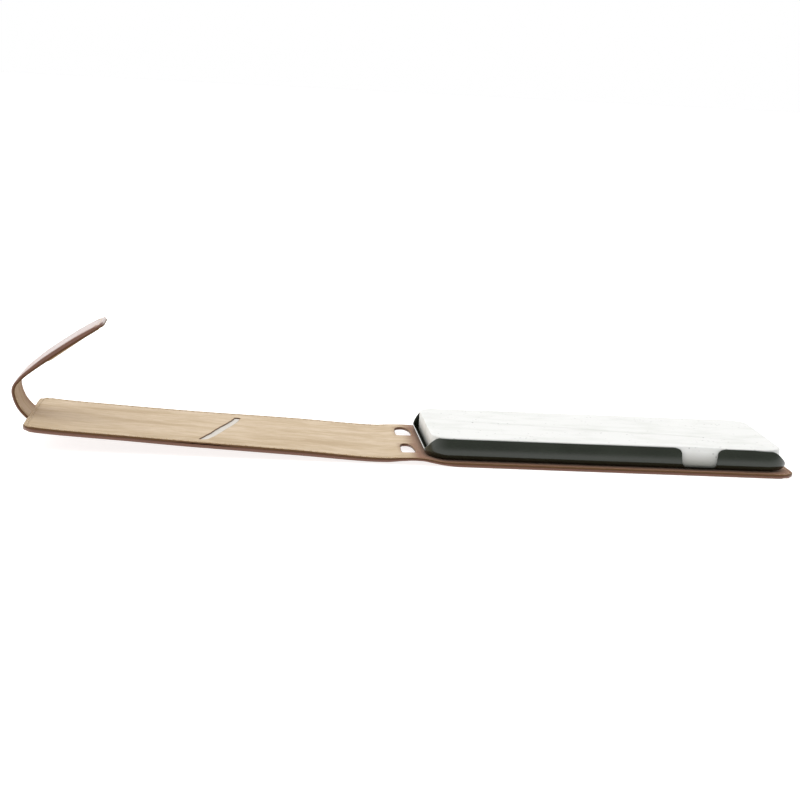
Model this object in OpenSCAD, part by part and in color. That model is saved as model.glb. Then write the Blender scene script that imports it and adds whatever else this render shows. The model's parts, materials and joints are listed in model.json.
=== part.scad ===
// Leather flip case for a phone, lying open: a back panel with a clip-in holder shell,
// a two-fold spine with windows, a cover with a card slot, and a curled closing strap.
// The back's flat underside is at z = 0, below the middle of the holder shell.

/* [Holder shell] */
// Length of the shell along the case
shell_l = 141; // [120:1:160]
// Width of the shell across the case
shell_w = 71; // [60:1:80]
// Height of the side walls
shell_h = 8.3; // [6:0.1:12]
// Wall thickness
shell_wall = 1.2; // [0.8:0.1:1.6]
// Floor thickness
shell_floor = 1; // [0.8:0.1:1.4]
// Corner radius in plan
shell_corner = 9; // [7:0.5:12]
// Height of the low lip left at both ends
lip_h = 3.1; // [1.5:0.1:4]
// Radius where a side wall comes down to its end
ramp_r = 6.4; // [4:0.2:8]
// Width of the button notch at the rim
notch_w = 14.9; // [10:0.1:20]
// How much narrower the notch is at its foot
notch_taper = 2.5; // [1:0.1:4]
// Wall left under the button notch
notch_foot = 1.7; // [1.2:0.1:3]
// Place of the notch from the shell's middle
notch_x = 35; // [20:1:45]
// Diameter of the camera window
camera_d = 11; // [8:0.5:14]
// Camera window from the shell's far end
camera_end = 13; // [12:0.5:20]
// Camera window from the centre line
camera_side = 22; // [20:0.5:24]

/* [Form block] */
// Gap between the block and the shell's side walls
block_gap = 0.1; // [0.05:0.05:0.3]
// Gap between the block and the shell's end lips
block_end_gap = 1.3; // [0.1:0.1:2]

/* [Back panel] */
// Thickness of the smooth outer leather
leather_t = 1.1; // [0.9:0.1:1.6]
// Thickness of the suede lining
lining_t = 0.6; // [0.5:0.1:1]
// Thickness of the double-sided tape
tape_t = 0.2; // [0.1:0.05:0.3]
// Leather left showing beside the shell
side_margin = 2.5; // [2.2:0.1:5]
// Leather left showing past the shell's far end
end_margin = 1.7; // [1.2:0.1:2]
// Radius of the panel's far corners
back_corner = 8; // [5:0.5:12]
// Diameter of the steel keeper disc
keeper_d = 16; // [12:1:20]
// Thickness of the steel keeper disc
keeper_t = 0.5; // [0.3:0.1:0.7]

/* [Spine] */
// Thickness of the spine leather
spine_t = 1.2; // [1:0.1:1.4]
// Distance between the two folds
spine_len = 10; // [9.5:0.1:12]
// Shell end to the first fold
fold_gap = 0.9; // [0.9:0.1:1.5]
// Height of the first fold over the rest face
fold_z = 2.2; // [1.9:0.1:2.4]
// Slope of the open spine, in degrees
spine_tilt = 4; // [2:0.5:5]
// Length of each spine window across the case
window_l = 19; // [14:1:22]
// Depth of each spine window
window_d = 6.6; // [4.5:0.1:7]
// Window middle from the middle of the pair
window_y = 18.5; // [17:0.5:20]
// Middle of the pair from the centre line
window_shift = 2.6; // [-3:0.1:3]
// Room between a fold and a window
window_edge = 1.5; // [1.2:0.1:2]

/* [Cover] */
// How much shorter than the shell the cover is
cover_short = 0.2; // [0:0.1:1]
// Cover and spine left showing beside the shell
cover_margin = 1.75; // [1.5:0.05:2.5]
// Slope of the open cover, in degrees
cover_tilt = 2.8; // [2:0.1:4]
// Thickness of the cover's outer leather
cover_leather_t = 1.2; // [1:0.1:1.6]
// Thickness of the cover's lining
cover_lining_t = 0.7; // [0.5:0.1:1]
// Radius of the cover's free corners
cover_corner = 5.5; // [4:0.5:8]
// Thickness of the stiffening board
board_t = 0.5; // [0.4:0.1:0.6]
// Cover left round the board
board_inset = 5; // [4:0.5:8]
// Length of the card slot
slot_l = 60; // [50:1:62]
// Width of the card slot
slot_w = 3.2; // [1.5:0.1:4]
// Card slot middle from the cover's fold
slot_x = 67.2; // [50:1:90]
// Card slot middle from the centre line
slot_y = -1; // [-3:0.1:3]
// Slant of the card slot, in degrees
slot_slant = 14.7; // [0:0.1:20]

/* [Strap] */
// Width of the strap
strap_w = 27; // [20:1:34]
// Thickness of the strap where it bends
strap_t = 1.3; // [1:0.1:1.6]
// Angle at which the strap leaves the cover
strap_rise = 38; // [30:1:42]
// Length of the strap tongue held in the cover
tongue_l = 12; // [8:1:16]
// Length of the flat tab
tab_l = 34; // [28:1:40]
// Thickness of the tab's inner ply
tab_lining_t = 1.3; // [1.2:0.1:1.6]
// Radius of the tab's corners
tab_corner = 8; // [5:0.5:12]
// Diameter of the magnet in the tab
magnet_d = 16; // [10:1:18]
// Thickness of the magnet
magnet_t = 0.9; // [0.6:0.1:0.9]
// Magnet middle from the tab's tip
magnet_end = 16; // [13:1:18]

/* [Stitching] */
// Distance from one stitch to the next
stitch_pitch = 5; // [4.5:0.5:6]
// Length of one stitch
stitch_l = 3.8; // [3:0.1:4]
// Width of the thread
thread_w = 0.6; // [0.4:0.1:0.8]
// Height of the thread over the leather
thread_h = 0.25; // [0.15:0.05:0.3]
// Stitch line from the panel's edge
stitch_inset = 1.3; // [1:0.1:1.6]

/* [Hidden] */
$fn = 64;

// play between leather ends at a fold, and the small run-over of a cut
fold_play = 0.35;
over = 1;
tape_inset = 5;
arc_steps = 8;

back_w = shell_w + 2 * side_margin;
back_t = leather_t + lining_t;
shell_z = back_t + tape_t;
rim_z = shell_z + shell_h;
fold_a_x = -shell_l / 2 - fold_gap;
back_x0 = fold_a_x + spine_t / 2 + fold_play;
back_x1 = shell_l / 2 + end_margin;
camera_x = shell_l / 2 - camera_end;
groove_d = thread_h + 0.1;
groove_play = 0.3;

cover_l = shell_l - cover_short;
cover_w = shell_w + 2 * cover_margin;
cover_t = cover_leather_t + cover_lining_t;
cover_x1 = -spine_t / 2 - fold_play;
seam_z = cover_t / 2 - cover_lining_t;
board_l = cover_l - tongue_l - 2 * board_inset;

// strap bends in the order they follow each other: [length, turn in degrees]
root_arcs = [[6, 20.7]];
bend_arcs = [[5, 17.3], [3, 37.5]];
tab_arcs = [[1, 12.5], [6, 15]];
strap_play = 0.18;
tongue_bite = 0.5;
ply_lap = 0.2;
strap_start = [-cover_l - strap_t / 2 * sin(strap_rise), seam_z - board_t / 2, strap_rise];
strap_fold_1 = along(strap_start, root_arcs);
strap_fold_2 = along(strap_fold_1, bend_arcs);
tab_start = along(strap_fold_2, tab_arcs);

// where the closed tab's magnet meets the back
closed_shift = 1.6;
keeper_x = fold_a_x + cover_l - tab_l + magnet_end + closed_shift;

// A place on the strap is [x, z, heading]. These carry one through a bend, or part of it.
function turned(p, bend, part = 1) =
    let (k = bend[1] * PI / 180 / bend[0], a = p[2] + bend[1] * part)
    [p[0] - (sin(a) - sin(p[2])) / k, p[1] + (cos(p[2]) - cos(a)) / k, a];
function along(p, bends, i = 0) = i == len(bends) ? p : along(turned(p, bends[i]), bends, i + 1);
function beside(p, off) = [p[0] + off * sin(p[2]), p[1] + off * cos(p[2])];
function places(p, bends, i = 0) = i == len(bends) ? [p] :
    concat([for (j = [0 : arc_steps - 1]) turned(p, bends[i], j / arc_steps)],
           places(turned(p, bends[i]), bends, i + 1));

module in_spine() {
    translate([fold_a_x, 0, fold_z])
        rotate([0, -spine_tilt, 0])
            children();
}

module in_cover() {
    in_spine()
        translate([-spine_len, 0, 0])
            rotate([0, spine_tilt + cover_tilt, 0])
                children();
}

module at_strap(p) {
    in_cover()
        translate([p[0], 0, p[1]])
            rotate([0, p[2], 0])
                children();
}

// plan outline from x0 to x1 with its own corner radius at each end
module outline(x0, x1, w, r0, r1) {
    translate([x0 + r0, -w / 2])
        square([x1 - x0 - r0 - r1, w]);
    translate([x0, -w / 2 + r0])
        square([2 * r0, w - 2 * r0]);
    translate([x1 - 2 * r1, -w / 2 + r1])
        square([2 * r1, w - 2 * r1]);
    for (y = [-1, 1]) {
        translate([x0 + r0, y * (w / 2 - r0)])
            circle(r0);
        translate([x1 - r1, y * (w / 2 - r1)])
            circle(r1);
    }
}

module panel(x0, x1, w, r0, r1, z0, t) {
    translate([0, 0, z0])
        linear_extrude(t)
            outline(x0, x1, w, r0, r1);
}

module stitch(x, y, turn, z) {
    translate([x, y, z + thread_h / 2])
        rotate([0, 0, turn])
            cube([stitch_l, thread_w, thread_h], center = true);
}

// two rows along the long edges from x0 to x1
module side_stitches(x0, x1, w, z) {
    count = floor((x1 - x0) / stitch_pitch);
    start = (x0 + x1 - (count - 1) * stitch_pitch) / 2;
    for (i = [0 : count - 1])
        for (y = [-1, 1])
            stitch(start + i * stitch_pitch, y * (w / 2 - stitch_inset), 0, z);
}

// one row across an end at x, facing way, with two stitches round each corner of radius r
module end_stitches(x, way, w, r, z) {
    run = w - 2 * r;
    count = floor(run / stitch_pitch);
    for (i = [0 : count - 1])
        stitch(x - way * stitch_inset, (i - (count - 1) / 2) * stitch_pitch, 90, z);
    for (y = [-1, 1])
        for (a = [28, 62])
            stitch(x - way * (r - (r - stitch_inset) * cos(a)),
                   y * (w / 2 - r + (r - stitch_inset) * sin(a)), y * way * (90 + a), z);
}

module camera_hole() {
    translate([camera_x, -camera_side, -over])
        cylinder(h = rim_z, d = camera_d);
}

module back_leather() {
    color("saddlebrown")
        difference() {
            panel(back_x0, back_x1, back_w, 2, back_corner, 0, leather_t);
            camera_hole();
            translate([keeper_x, 0, leather_t - keeper_t])
                cylinder(h = over, d = keeper_d);
            translate([0, 0, -over])
                linear_extrude(over + groove_d)
                    difference() {
                        groove_line(-thread_w / 2 - groove_play);
                        groove_line(thread_w / 2 + groove_play);
                    }
        }
}

module groove_line(off) {
    d = stitch_inset + off;
    outline(back_x0 - over, back_x1 - d, back_w - 2 * d, 1, back_corner - d);
}

module back_lining() {
    color("burlywood")
        difference() {
            panel(back_x0, back_x1, back_w, 2, back_corner, leather_t, lining_t);
            camera_hole();
        }
}

module keeper_plate() {
    color("silver")
        translate([keeper_x, 0, leather_t - keeper_t])
            cylinder(h = keeper_t, d = keeper_d);
}

module back_thread() {
    color("goldenrod")
        for (z = [groove_d - thread_h, back_t]) {
            side_stitches(back_x0 + 3, back_x1 - back_corner, back_w, z);
            end_stitches(back_x1, 1, back_w, back_corner, z);
        }
}

module shell_tape() {
    color("gainsboro")
        difference() {
            panel(-shell_l / 2 + tape_inset, shell_l / 2 - tape_inset, shell_w - 2 * tape_inset,
                  4, 4, back_t, tape_t);
            camera_hole();
        }
}

// cut at one end that leaves the low lip and the rounded ends of the side walls
module end_opening() {
    opening_w = shell_w - 2 * shell_corner + 5;
    translate([shell_l / 2 - shell_corner, 0, shell_z + lip_h])
        rotate([90, 0, 90])
            linear_extrude(shell_corner + over) {
                translate([-opening_w / 2, ramp_r / 2])
                    square([opening_w, shell_h]);
                translate([-opening_w / 2 + ramp_r / 2, 0])
                    square([opening_w - ramp_r, shell_h]);
                for (y = [-1, 1])
                    translate([y * (opening_w - ramp_r) / 2, ramp_r / 2])
                        circle(ramp_r / 2);
            }
    translate([shell_l / 2 - ramp_r, shell_w, rim_z - ramp_r])
        rotate([90, 0, 0])
            linear_extrude(2 * shell_w)
                difference() {
                    square([ramp_r + over, ramp_r + over]);
                    circle(ramp_r);
                    square([ramp_r + over, ramp_r / 3]);
                }
}

module button_notch() {
    foot_w = notch_w - notch_taper;
    translate([notch_x, -shell_w / 2 + shell_wall + over / 4, shell_z + notch_foot])
        rotate([90, 0, 0])
            linear_extrude(shell_wall + over)
                polygon([[-foot_w / 2, 0], [foot_w / 2, 0],
                         [notch_w / 2, shell_h], [-notch_w / 2, shell_h]]);
}

module holder_shell() {
    inner = shell_corner - shell_wall;
    color("black")
        difference() {
            panel(-shell_l / 2, shell_l / 2, shell_w, shell_corner, shell_corner, shell_z, shell_h);
            panel(-shell_l / 2 + shell_wall, shell_l / 2 - shell_wall, shell_w - 2 * shell_wall,
                  inner, inner, shell_z + shell_floor, shell_h);
            end_opening();
            mirror([1, 0, 0])
                end_opening();
            button_notch();
            camera_hole();
        }
}

module form_block() {
    gap = shell_wall + block_gap;
    x1 = shell_l / 2 - shell_wall - block_end_gap;
    color("white")
        panel(-x1, x1, shell_w - 2 * gap, shell_corner - gap, shell_corner - gap,
              shell_z + shell_floor, shell_h - shell_floor);
}

// one window: straight on the cover's side, bowed towards the shell
module spine_window() {
    bow_r = (window_l * window_l / 4 + window_d * window_d) / (2 * window_d);
    translate([-window_edge - window_d, 0, -spine_t])
        linear_extrude(2 * spine_t)
            intersection() {
                translate([window_d - bow_r, 0])
                    circle(bow_r);
                translate([0, -window_l / 2])
                    square([window_d, window_l]);
            }
}

module spine_leather() {
    color("sienna")
        in_spine()
            difference() {
                union() {
                    translate([-spine_len, -cover_w / 2, -spine_t / 2])
                        cube([spine_len, cover_w, spine_t]);
                    for (x = [-spine_len, 0])
                        translate([x, 0, 0])
                            rotate([90, 0, 0])
                                cylinder(h = cover_w, d = spine_t, center = true);
                }
                for (y = [-1, 1])
                    translate([0, window_shift + y * window_y, 0])
                        spine_window();
            }
}

module spine_thread() {
    color("goldenrod")
        in_spine()
            for (z = [-spine_t / 2 - thread_h, spine_t / 2])
                side_stitches(-spine_len, 0, cover_w, z);
}

module strap_pocket(extra) {
    translate([-cover_l - extra, -strap_w / 2, seam_z - board_t])
        cube([tongue_l + extra, strap_w, board_t + extra]);
}

module cover_leather() {
    color("saddlebrown")
        in_cover()
            difference() {
                panel(-cover_l, cover_x1, cover_w, cover_corner, 2, -cover_t / 2, cover_leather_t);
                board_shape(over);
                strap_pocket(over);
            }
}

module board_shape(extra) {
    x1 = cover_x1 - board_inset;
    panel(x1 - board_l, x1, cover_w - 2 * board_inset, 3, 3, seam_z - board_t, board_t + extra);
}

module cover_board() {
    color("ivory")
        in_cover()
            board_shape(0);
}

module cover_lining() {
    color("burlywood")
        in_cover()
            difference() {
                panel(-cover_l, cover_x1, cover_w, cover_corner, 2, seam_z, cover_lining_t);
                translate([-slot_x, slot_y, seam_z - over])
                    rotate([0, 0, 90 - slot_slant])
                        linear_extrude(cover_lining_t + 2 * over)
                            slot_outline(slot_l / 2, slot_w / 2);
            }
}

// a straight slot that narrows to a point at each end
module slot_outline(l, w) {
    polygon([[-l, 0], [-l + 2 * w, w], [l - 2 * w, w], [l, 0], [l - 2 * w, -w], [-l + 2 * w, -w]]);
}

module cover_thread() {
    color("goldenrod")
        in_cover()
            for (z = [-cover_t / 2 - thread_h, cover_t / 2]) {
                side_stitches(-cover_l + cover_corner, cover_x1 - 1, cover_w, z);
                end_stitches(-cover_l, -1, cover_w, cover_corner, z);
            }
}

// round end of a ply at a strap fold, from its free face to the middle: way 1 is forward
function quarter(p, side, way) = [for (f = [15 : 15 : 90])
    [p[0] + strap_t / 2 * (side * sin(p[2]) * cos(f) - way * cos(p[2]) * sin(f)),
     p[1] + strap_t / 2 * (side * cos(p[2]) * cos(f) + way * sin(p[2]) * sin(f))]];
function backwards(list) = [for (i = [len(list) - 1 : -1 : 0]) list[i]];

// a bent ply of the strap, from its middle to its face, drawn in the cover's frame:
// side 1 is the inner ply, -1 the outer one, and a round one turns on the folds at its ends
module bent_ply(p, bends, side, round = false) {
    path = places(p, bends);
    last = along(p, bends);
    in_cover()
        rotate([90, 0, 0])
            linear_extrude(strap_w, center = true)
                polygon(concat([for (q = path) beside(q, 0)],
                               round ? backwards(quarter(last, side, 1)) : [],
                               backwards([for (q = path) beside(q, side * strap_t / 2)]),
                               round ? quarter(p, side, -1) : []));
}

module fold_room(p) {
    at_strap(p)
        rotate([90, 0, 0])
            cylinder(h = strap_w + over, r = strap_t / 2 + strap_play, center = true);
}

module strap_root_leather() {
    color("saddlebrown") {
        difference() {
            bent_ply(strap_start, root_arcs, -1);
            fold_room(strap_fold_1);
        }
        in_cover()
            translate([strap_start[0] - tongue_bite, -strap_w / 2, seam_z - board_t])
                cube([tongue_l - cover_l - strap_start[0] + tongue_bite, strap_w, board_t]);
    }
}

module strap_root_lining() {
    color("burlywood")
        difference() {
            bent_ply(strap_start, root_arcs, 1);
            fold_room(strap_fold_1);
            in_cover()
                translate([strap_start[0] - tongue_bite, -strap_w, seam_z - board_t])
                    cube([2 * tongue_bite, 2 * strap_w, board_t]);
        }
}

module strap_bend_leather() {
    color("saddlebrown")
        bent_ply(strap_fold_1, bend_arcs, -1, true);
}

module strap_bend_lining() {
    color("burlywood")
        bent_ply(strap_fold_1, bend_arcs, 1, true);
}

// straight part of one ply, with a rounded tip and a short lap into the bend behind it
module tab_plate(z, t) {
    translate([0, 0, z])
        linear_extrude(t) {
            translate([tab_corner - tab_l, -strap_w / 2])
                square([tab_l - tab_corner + ply_lap, strap_w]);
            translate([-tab_l, tab_corner - strap_w / 2])
                square([2 * tab_corner, strap_w - 2 * tab_corner]);
            for (y = [-1, 1])
                translate([tab_corner - tab_l, y * (strap_w / 2 - tab_corner)])
                    circle(tab_corner);
        }
}

module magnet_shape(extra) {
    translate([-tab_l + magnet_end, 0, 0])
        cylinder(h = magnet_t + extra, d = magnet_d);
}

module tab_leather() {
    color("saddlebrown") {
        difference() {
            bent_ply(strap_fold_2, tab_arcs, -1);
            fold_room(strap_fold_2);
        }
        at_strap(tab_start)
            tab_plate(-strap_t / 2, strap_t / 2);
    }
}

module tab_lining() {
    color("burlywood") {
        difference() {
            bent_ply(strap_fold_2, tab_arcs, 1);
            fold_room(strap_fold_2);
        }
        at_strap(tab_start)
            difference() {
                tab_plate(0, tab_lining_t);
                magnet_shape(0);
            }
    }
}

module tab_magnet() {
    color("silver")
        at_strap(tab_start)
            magnet_shape(0);
}

module tab_thread() {
    color("goldenrod")
        at_strap(tab_start)
            for (z = [-strap_t / 2 - thread_h, tab_lining_t]) {
                side_stitches(-tab_l + tab_corner, 0, strap_w, z);
                end_stitches(-tab_l, -1, strap_w, tab_corner, z);
            }
}

back_leather();
back_lining();
keeper_plate();
back_thread();
shell_tape();
holder_shell();
form_block();
spine_leather();
spine_thread();
cover_leather();
cover_board();
cover_lining();
cover_thread();
strap_root_leather();
strap_root_lining();
strap_bend_leather();
strap_bend_lining();
tab_leather();
tab_magnet();
tab_lining();
tab_thread();
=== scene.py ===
# Leather flip case for a phone, lying open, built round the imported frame
import json
import math

import bpy
import numpy as np
from mathutils import Matrix, Vector, noise
from mathutils.geometry import delaunay_2d_cdt


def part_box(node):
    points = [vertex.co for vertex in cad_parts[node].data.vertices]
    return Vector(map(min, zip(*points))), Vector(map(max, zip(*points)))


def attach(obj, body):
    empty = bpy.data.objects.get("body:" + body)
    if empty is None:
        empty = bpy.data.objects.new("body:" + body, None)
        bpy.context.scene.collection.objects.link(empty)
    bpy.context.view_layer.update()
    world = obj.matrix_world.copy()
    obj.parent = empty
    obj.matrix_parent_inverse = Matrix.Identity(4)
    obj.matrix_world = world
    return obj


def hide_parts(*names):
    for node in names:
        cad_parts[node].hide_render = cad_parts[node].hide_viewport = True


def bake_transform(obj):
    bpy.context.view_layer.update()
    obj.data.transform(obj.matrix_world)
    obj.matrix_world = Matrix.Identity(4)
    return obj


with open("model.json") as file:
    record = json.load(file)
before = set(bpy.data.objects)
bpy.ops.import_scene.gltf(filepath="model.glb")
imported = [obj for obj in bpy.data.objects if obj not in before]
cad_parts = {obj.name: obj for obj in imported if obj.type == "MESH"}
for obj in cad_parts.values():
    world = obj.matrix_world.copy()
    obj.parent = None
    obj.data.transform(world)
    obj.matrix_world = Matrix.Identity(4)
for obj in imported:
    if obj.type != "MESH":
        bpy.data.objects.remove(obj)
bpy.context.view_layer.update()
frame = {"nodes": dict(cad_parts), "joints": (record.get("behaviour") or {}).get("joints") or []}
mm = 0.001

# where the folds and the hard parts are
folds = {j["name"]: j for j in frame["joints"]}
foldA = Vector(folds["spine_fold"]["pos_m"])
foldB = Vector(folds["cover_fold"]["pos_m"])
strapFold1 = Vector(folds["strap_bend_fold"]["pos_m"])
shellLow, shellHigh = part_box("holder_shell")
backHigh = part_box("back_leather")[1]
coverLow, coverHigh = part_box("cover_leather")
coverTilt = math.radians(180 - folds["spine_fold"]["range_deg"][1] - folds["cover_fold"]["range_deg"][1])

# camera and light
view = {"place": (-0.14425, -0.8101, 0.14761), "aim": (-0.07839, 0.0, 0.01894), "roll": 2.97, "lens": 93.91}


def makeCamera():
    data = bpy.data.cameras.new("camera")
    data.lens = view["lens"]
    data.sensor_width = 36
    data.clip_start = 0.05
    data.clip_end = 20
    camera = bpy.data.objects.new("camera", data)
    bpy.context.scene.collection.objects.link(camera)
    place = Vector(view["place"])
    look = (Vector(view["aim"]) - place).to_track_quat("-Z", "Y").to_matrix().to_4x4()
    roll = Matrix.Rotation(math.radians(view["roll"]), 4, "Z")
    camera.matrix_world = Matrix.Translation(place) @ look @ roll
    bpy.context.scene.camera = camera


light = {"top": 1.15, "behind": 2.3, "front": 0.30, "overheadPower": 3.0, "overheadSize": 1.2,
         "overheadHeight": 1.3, "brightSide": (-0.5, 0.87, 0.0), "floorPaint": 0.50, "floorGlow": 0.84}


def makeLight():
    # a pale tent: brightest behind the case, dimmer where the front is open
    world = bpy.data.worlds.new("studio")
    bpy.context.scene.world = world
    world.use_nodes = True
    nodes, links = world.node_tree.nodes, world.node_tree.links
    tent = nodes["Background"]
    tent.inputs["Color"].default_value = (1.0, 0.995, 0.985, 1)
    sky = nodes.new("ShaderNodeTexCoord").outputs["Generated"]
    direction = nodes.new("ShaderNodeSeparateXYZ")
    links.new(sky, direction.inputs["Vector"])
    facing = nodes.new("ShaderNodeVectorMath")
    facing.operation = "DOT_PRODUCT"
    links.new(sky, facing.inputs[0])
    facing.inputs[1].default_value = light["brightSide"]
    around = nodes.new("ShaderNodeMapRange")
    links.new(facing.outputs["Value"], around.inputs["Value"])
    around.inputs["From Min"].default_value = -0.9
    around.inputs["From Max"].default_value = 0.9
    around.inputs["To Min"].default_value = light["front"]
    around.inputs["To Max"].default_value = light["behind"]
    height = nodes.new("ShaderNodeMapRange")
    links.new(direction.outputs["Z"], height.inputs["Value"])
    height.inputs["From Min"].default_value = 0.10
    height.inputs["From Max"].default_value = 0.75
    strength = nodes.new("ShaderNodeMix")
    links.new(height.outputs["Result"], strength.inputs["Factor"])
    links.new(around.outputs["Result"], strength.inputs[2])
    strength.inputs[3].default_value = light["top"]
    links.new(strength.outputs[0], tent.inputs["Strength"])
    backdrop = nodes.new("ShaderNodeBackground")
    backdrop.inputs["Color"].default_value = (1, 1, 1, 1)
    choose = nodes.new("ShaderNodeMixShader")
    links.new(nodes.new("ShaderNodeLightPath").outputs["Is Camera Ray"], choose.inputs["Fac"])
    links.new(tent.outputs["Background"], choose.inputs[1])
    links.new(backdrop.outputs["Background"], choose.inputs[2])
    links.new(choose.outputs["Shader"], nodes["World Output"].inputs["Surface"])
    data = bpy.data.lights.new("overhead", "AREA")
    data.energy = light["overheadPower"]
    data.size = light["overheadSize"]
    lamp = bpy.data.objects.new("overhead", data)
    lamp.location = (-0.1, 0.25, light["overheadHeight"])
    lamp.rotation_euler = (Vector((0, 0, 0)) - lamp.location).to_track_quat("-Z", "Y").to_euler()
    bpy.context.scene.collection.objects.link(lamp)
    bpy.context.scene.view_settings.view_transform = "Standard"
    bpy.context.scene.view_settings.look = "None"


def makeFloor():
    size = 12
    mesh = bpy.data.meshes.new("floor")
    corners = [(-size, -size, 0), (size, -size, 0), (size, size, 0), (-size, size, 0)]
    mesh.from_pydata(corners, [], [(0, 1, 2, 3)])
    floor = bpy.data.objects.new("floor", mesh)
    floor.location.z = -0.05 * mm
    bpy.context.scene.collection.objects.link(floor)
    finish = bpy.data.materials.new("floorPaint")
    finish.use_nodes = True
    shader = finish.node_tree.nodes["Principled BSDF"]
    paint = light["floorPaint"]
    shader.inputs["Base Color"].default_value = (paint, paint, paint, 1)
    shader.inputs["Roughness"].default_value = 0.7
    shader.inputs["Specular IOR Level"].default_value = 0.1
    shader.inputs["Emission Color"].default_value = (1, 0.997, 0.99, 1)
    shader.inputs["Emission Strength"].default_value = light["floorGlow"]
    mesh.materials.append(finish)


makeCamera()
makeLight()
makeFloor()
print("camera, light and floor")

# finishes


class Finish:
    # a material with its nodes, and short ways to add to them

    def __init__(self, name):
        self.material = bpy.data.materials.new(name)
        self.material.use_nodes = True
        self.nodes = self.material.node_tree.nodes
        self.links = self.material.node_tree.links
        self.shader = self.nodes["Principled BSDF"]

    def node(self, kind, **inputs):
        node = self.nodes.new(kind)
        for key, value in inputs.items():
            self.set(node, key.replace("_", " "), value)
        return node

    def set(self, node, key, value):
        if isinstance(value, bpy.types.NodeSocket):
            self.links.new(value, node.inputs[key])
        else:
            node.inputs[key].default_value = value

    def value(self, key, value):
        self.set(self.shader, key, value)

    def rest(self):
        node = self.nodes.new("ShaderNodeAttribute")
        node.attribute_name = "rest"
        return node.outputs["Vector"]

    def edge(self):
        node = self.nodes.new("ShaderNodeAttribute")
        node.attribute_name = "edge"
        return node.outputs["Fac"]

    def stretched(self, place, scale):
        node = self.nodes.new("ShaderNodeMapping")
        node.inputs["Scale"].default_value = scale
        self.links.new(place, node.inputs["Vector"])
        return node.outputs["Vector"]

    def noise(self, place, scale, detail=4.0, rough=0.55):
        node = self.node("ShaderNodeTexNoise", Vector=place, Scale=scale, Detail=detail, Roughness=rough)
        return node.outputs["Fac"]

    def ramp(self, fac, stops):
        node = self.nodes.new("ShaderNodeValToRGB")
        self.links.new(fac, node.inputs["Fac"])
        while len(node.color_ramp.elements) < len(stops):
            node.color_ramp.elements.new(0.5)
        for element, (place, color) in zip(node.color_ramp.elements, stops):
            element.position = place
            element.color = (*color, 1)
        return node.outputs["Color"]

    def mix(self, fac, first, second, way="MIX"):
        node = self.nodes.new("ShaderNodeMix")
        node.data_type = "RGBA"
        node.blend_type = way
        self.set(node, "Factor", fac)
        for socket, value in ((node.inputs[6], first), (node.inputs[7], second)):
            if isinstance(value, bpy.types.NodeSocket):
                self.links.new(value, socket)
            else:
                socket.default_value = (*value, 1)
        return node.outputs[2]

    def bump(self, height, strength, distance, normal=None):
        node = self.node("ShaderNodeBump", Height=height, Strength=strength, Distance=distance)
        if normal is not None:
            self.links.new(normal, node.inputs["Normal"])
        return node.outputs["Normal"]

    def spread(self, fac, low, high):
        node = self.node("ShaderNodeMapRange", Value=fac)
        node.inputs["To Min"].default_value = low
        node.inputs["To Max"].default_value = high
        return node.outputs["Result"]


suede = {"pale": (0.575, 0.455, 0.315), "deep": (0.43, 0.315, 0.19), "fold": (0.205, 0.088, 0.050),
         "fuzz": (0.62, 0.46, 0.25), "cut": (0.105, 0.052, 0.022), "bloom": (0.64, 0.52, 0.39),
         "streak": (26, 110, 110), "brushed": (130, 460, 460), "fibre": 2600}


def makeSuede():
    f = Finish("suede lining")
    rest = f.rest()
    streaks = f.noise(f.stretched(rest, suede["streak"]), 1.0, 5.0, 0.6)
    clouds = f.noise(rest, 38.0, 3.0)
    fibre = f.noise(f.stretched(rest, (0.45, 1.0, 1.0)), suede["fibre"], 6.0, 0.7)
    brushed = f.noise(f.stretched(rest, suede["brushed"]), 1.0, 4.0, 0.65)
    base = f.ramp(streaks, [(0.34, suede["deep"]), (0.50, suede["pale"]), (0.66, suede["bloom"])])
    base = f.mix(f.ramp(brushed, [(0.42, (0.45, 0.45, 0.45)), (0.56, (0, 0, 0))]), base, suede["deep"])
    base = f.mix(f.ramp(brushed, [(0.52, (0, 0, 0)), (0.68, (0.5, 0.5, 0.5))]), base, suede["bloom"])
    base = f.mix(f.spread(clouds, 0.0, 0.30), base, suede["deep"])
    base = f.mix(f.spread(fibre, 0.0, 0.28), base, tuple(0.72 * c for c in suede["pale"]), "MULTIPLY")
    # the darkened colour is laid on by a mask of real wear and staining together with painted shade beside
    # the shell and on the strap's lining
    worn = f.nodes.new("ShaderNodeAttribute")
    worn.attribute_name = "wearAndShade"
    base = f.mix(worn.outputs["Fac"], base, suede["fold"])
    edge = f.edge()
    ragged = f.node("ShaderNodeMath", )
    ragged.operation = "ADD"
    f.set(ragged, 0, edge)
    f.set(ragged, 1, f.spread(f.noise(rest, 700.0, 4.0, 0.7), -0.22, 0.22))
    base = f.mix(f.ramp(edge, [(0.02, (0, 0, 0)), (0.15, (0.8, 0.8, 0.8))]), base, suede["fuzz"])
    cutEdge = f.ramp(ragged.outputs["Value"], [(0.18, (0, 0, 0)), (0.36, (1, 1, 1))])
    base = f.mix(cutEdge, base, suede["cut"])
    f.value("Base Color", base)
    f.value("Roughness", f.spread(fibre, 0.80, 0.98))
    f.value("Specular IOR Level", 0.18)
    f.value("Sheen Weight", 0.25)
    f.value("Sheen Roughness", 0.45)
    f.value("Sheen Tint", (0.95, 0.85, 0.70, 1))
    f.value("Normal", f.bump(fibre, 0.55, 0.12 * mm, f.bump(f.noise(rest, 420.0, 4.0), 0.35, 0.25 * mm)))
    return f.material


hide = {"brown": (0.145, 0.046, 0.026), "light": (0.185, 0.062, 0.034), "dark": (0.105, 0.034, 0.020),
        "burnt": (0.135, 0.058, 0.032),
        "grain": 1500, "gloss": 0.34}


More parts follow.
